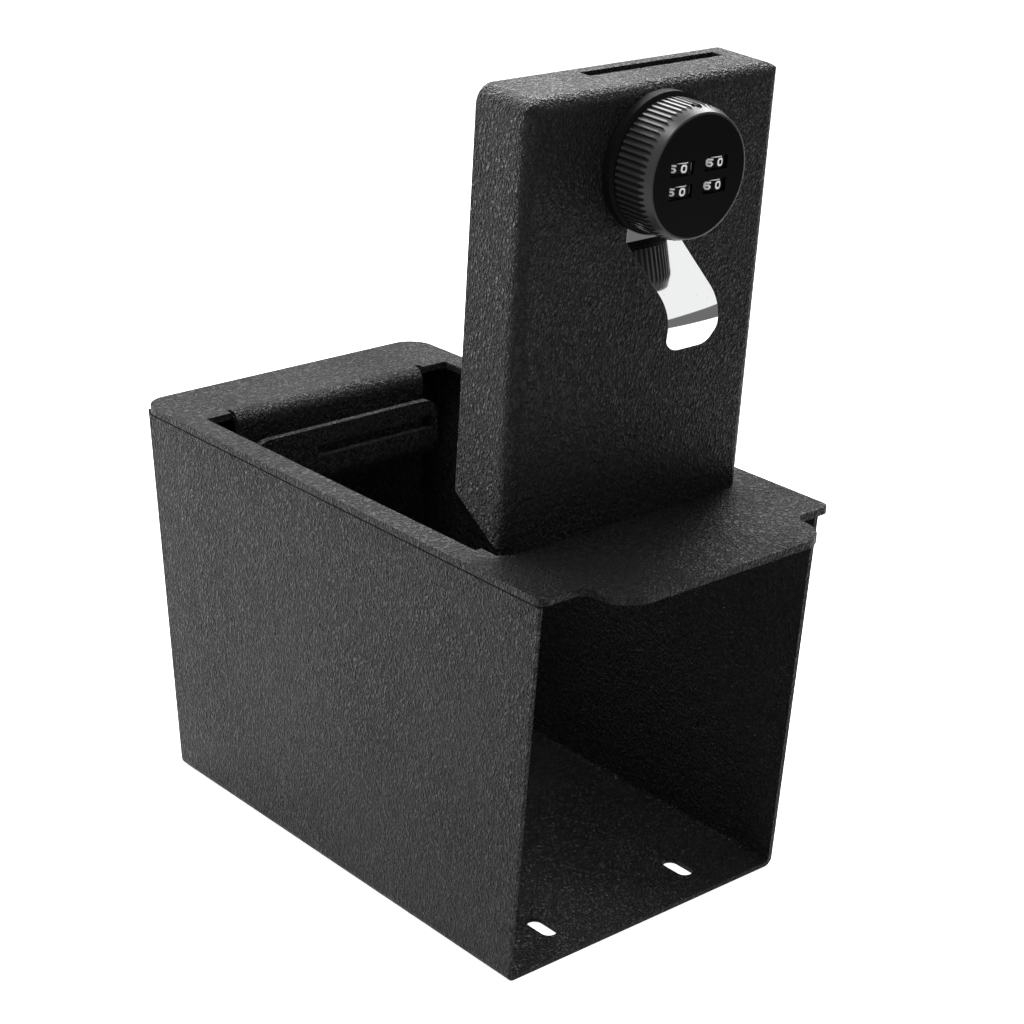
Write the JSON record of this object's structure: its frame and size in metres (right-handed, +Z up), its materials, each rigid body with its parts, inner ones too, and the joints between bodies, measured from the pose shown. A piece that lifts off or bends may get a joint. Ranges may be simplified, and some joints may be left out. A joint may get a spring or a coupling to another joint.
{
  "type": "vehicle console safe",
  "caption": "Black steel console safe, open at the front, with a hinged flush lid, a combination cam lock and a bent finger pull.",
  "frame": {"origin": "middle of the overall width and length, on the underside of the floor", "axes": "+X to the right seen from the open front, +Y to the back, +Z up"},
  "size_m": [0.15, 0.28, 0.3372],
  "materials": {
    "powder_coat": "coarse wrinkled black powder coat",
    "hinge_steel": "black zinc plating, satin",
    "pull_chrome": "polished chrome",
    "lock_black": "black, satin",
    "dial_black": "black, glossy",
    "wheel_plastic": "black with white numbers",
    "carrier_zinc": "die-cast, matt",
    "plated_steel": "zinc plated, satin",
    "spring_steel": "spring steel, bright"
  },
  "bodies": {
    "box": {"box_shell": "powder_coat", "rear_panel": "powder_coat", "top_plate": "powder_coat", "hinge_leaf_box": "hinge_steel", "hinge_pin": "hinge_steel"},
    "lid": {"lid_pan": "powder_coat", "hinge_leaf_lid": "hinge_steel", "finger_pull": "pull_chrome", "lock_body": "lock_black", "lock_washer": "plated_steel", "lock_nut": "plated_steel"},
    "knob": {"knob_shell": "lock_black", "dial_plate": "dial_black", "wheel_carrier": "carrier_zinc", "carrier_screws": "plated_steel", "wheel_axle_left": "plated_steel", "wheel_axle_right": "plated_steel", "detent_spring_left": "spring_steel", "detent_spring_right": "spring_steel", "lock_spindle": "plated_steel", "cam": "plated_steel", "cam_washer": "plated_steel", "cam_screw": "plated_steel"},
    "bar": {"locking_bar": "plated_steel"},
    "plunger": {"reset_plunger": "plated_steel"},
    "wheel_upper_left": {"number_wheel_upper_left": "wheel_plastic"},
    "wheel_upper_right": {"number_wheel_upper_right": "wheel_plastic"},
    "wheel_lower_left": {"number_wheel_lower_left": "wheel_plastic"},
    "wheel_lower_right": {"number_wheel_lower_right": "wheel_plastic"}
  },
  "joints": [
    {"name": "lid_hinge", "type": "hinge", "parent": "box", "child": "lid", "pos_m": [0, -0.0764, 0.1598], "axis": [-1, 0, 0], "range_deg": [0, 92.8]},
    {"name": "knob_turn", "type": "hinge", "parent": "lid", "child": "knob", "pos_m": [0, -0.0898, 0.30695], "axis": [0, -0.9988, -0.0488], "range_deg": [0, 90]},
    {"name": "locking_bar_slide", "type": "slide", "parent": "knob", "child": "bar", "axis": [0, 0.9988, 0.0488], "range_m": [0, 0.0011]},
    {"name": "reset_push", "type": "slide", "parent": "knob", "child": "plunger", "axis": [0, 0.0488, -0.9988], "range_m": [0, 0.0015], "stiffness_N_per_m": 200},
    {"name": "wheel_upper_left_turn", "type": "hinge", "parent": "knob", "child": "wheel_upper_left", "pos_m": [-0.00635, -0.10426, 0.30985], "axis": [0, -0.0488, 0.9988], "continuous": true},
    {"name": "wheel_lower_left_turn", "type": "hinge", "parent": "knob", "child": "wheel_lower_left", "pos_m": [-0.00635, -0.10385, 0.30146], "axis": [0, -0.0488, 0.9988], "continuous": true},
    {"name": "wheel_upper_right_turn", "type": "hinge", "parent": "knob", "child": "wheel_upper_right", "pos_m": [0.01035, -0.10426, 0.30985], "axis": [0, -0.0488, 0.9988], "continuous": true},
    {"name": "wheel_lower_right_turn", "type": "hinge", "parent": "knob", "child": "wheel_lower_right", "pos_m": [0.01035, -0.10385, 0.30146], "axis": [0, -0.0488, 0.9988], "continuous": true}
  ]
}
